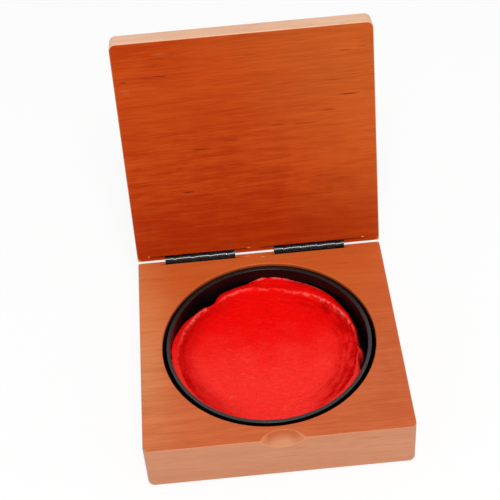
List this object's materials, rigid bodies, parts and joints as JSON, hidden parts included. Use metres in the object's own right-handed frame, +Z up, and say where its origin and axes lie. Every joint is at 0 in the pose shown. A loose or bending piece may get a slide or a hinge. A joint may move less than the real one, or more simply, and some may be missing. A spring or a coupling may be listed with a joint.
{
  "type": "seal paste box",
  "caption": "Hinged wooden box with a round black cup of red seal paste set in its base and a flat lid that stands open at a stop.",
  "frame": {"origin": "middle of the base's underside", "axes": "+Z up, +X to the right along the hinge line, the thumb notch faces -Y and the open lid stands at +Y"},
  "size_m": [0.1, 0.1279, 0.1153],
  "materials": {
    "base_wood": "satin lacquer",
    "lid_wood": "satin lacquer",
    "foam": "matte",
    "cup_black": "glossy",
    "paste_red": "satin",
    "hinge_black": "glossy",
    "pin_steel": "drawn"
  },
  "bodies": {
    "base": {"base_block": "base_wood", "cup_foam_pad": "foam", "paste_cup": "cup_black", "seal_paste": "paste_red", "left_hinge_base_leaf": "hinge_black", "left_hinge_pin": "pin_steel", "right_hinge_base_leaf": "hinge_black", "right_hinge_pin": "pin_steel"},
    "lid": {"lid_panel": "lid_wood", "left_hinge_lid_leaf": "hinge_black", "right_hinge_lid_leaf": "hinge_black"}
  },
  "joints": [
    {"name": "lid_hinge", "type": "hinge", "parent": "base", "child": "lid", "pos_m": [0, 0.04828, 0.02176], "axis": [1, 0, 0], "range_deg": [0, 103.7]}
  ]
}
